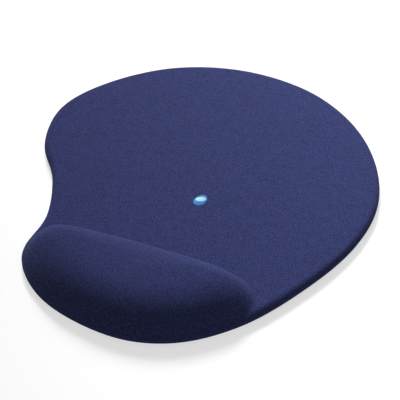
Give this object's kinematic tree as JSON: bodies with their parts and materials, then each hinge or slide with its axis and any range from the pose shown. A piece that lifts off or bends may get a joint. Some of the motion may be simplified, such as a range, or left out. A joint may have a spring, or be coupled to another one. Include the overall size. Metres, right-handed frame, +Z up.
{
  "type": "mouse pad with gel wrist rest",
  "caption": "Soft mouse pad with a raised gel wrist rest along its front, a waisted left side and a small oval badge, covered in navy stretch fabric.",
  "frame": {"origin": "on the table, under the middle of the pad's bounding box", "axes": "+Z up from the table; +Y from the wrist rest to the far edge of the pad; +X to the user's right"},
  "size_m": [0.2044, 0.2321, 0.0233],
  "materials": {
    "navy_fabric": "fine stretch knit, matt with a faint nap at grazing angles",
    "black_rubber": "matt, embossed with a fine non-slip grid",
    "grey_foam": "matt open-cell foam",
    "pale_gel": "soft, clear and tacky",
    "clear_film": "smooth thin film",
    "adhesive_film": "thin tacky film",
    "badge_blue": "satin heat-transfer print",
    "badge_white": "satin heat-transfer print"
  },
  "bodies": {
    "root": {"base_sheet": "black_rubber", "base_adhesive": "adhesive_film", "foam_core": "grey_foam", "gel_backing_film": "clear_film", "gel_core": "pale_gel", "barrier_film": "clear_film", "fabric_cover": "navy_fabric", "badge_oval": "badge_blue", "badge_mark": "badge_white"}
  },
  "joints": []
}
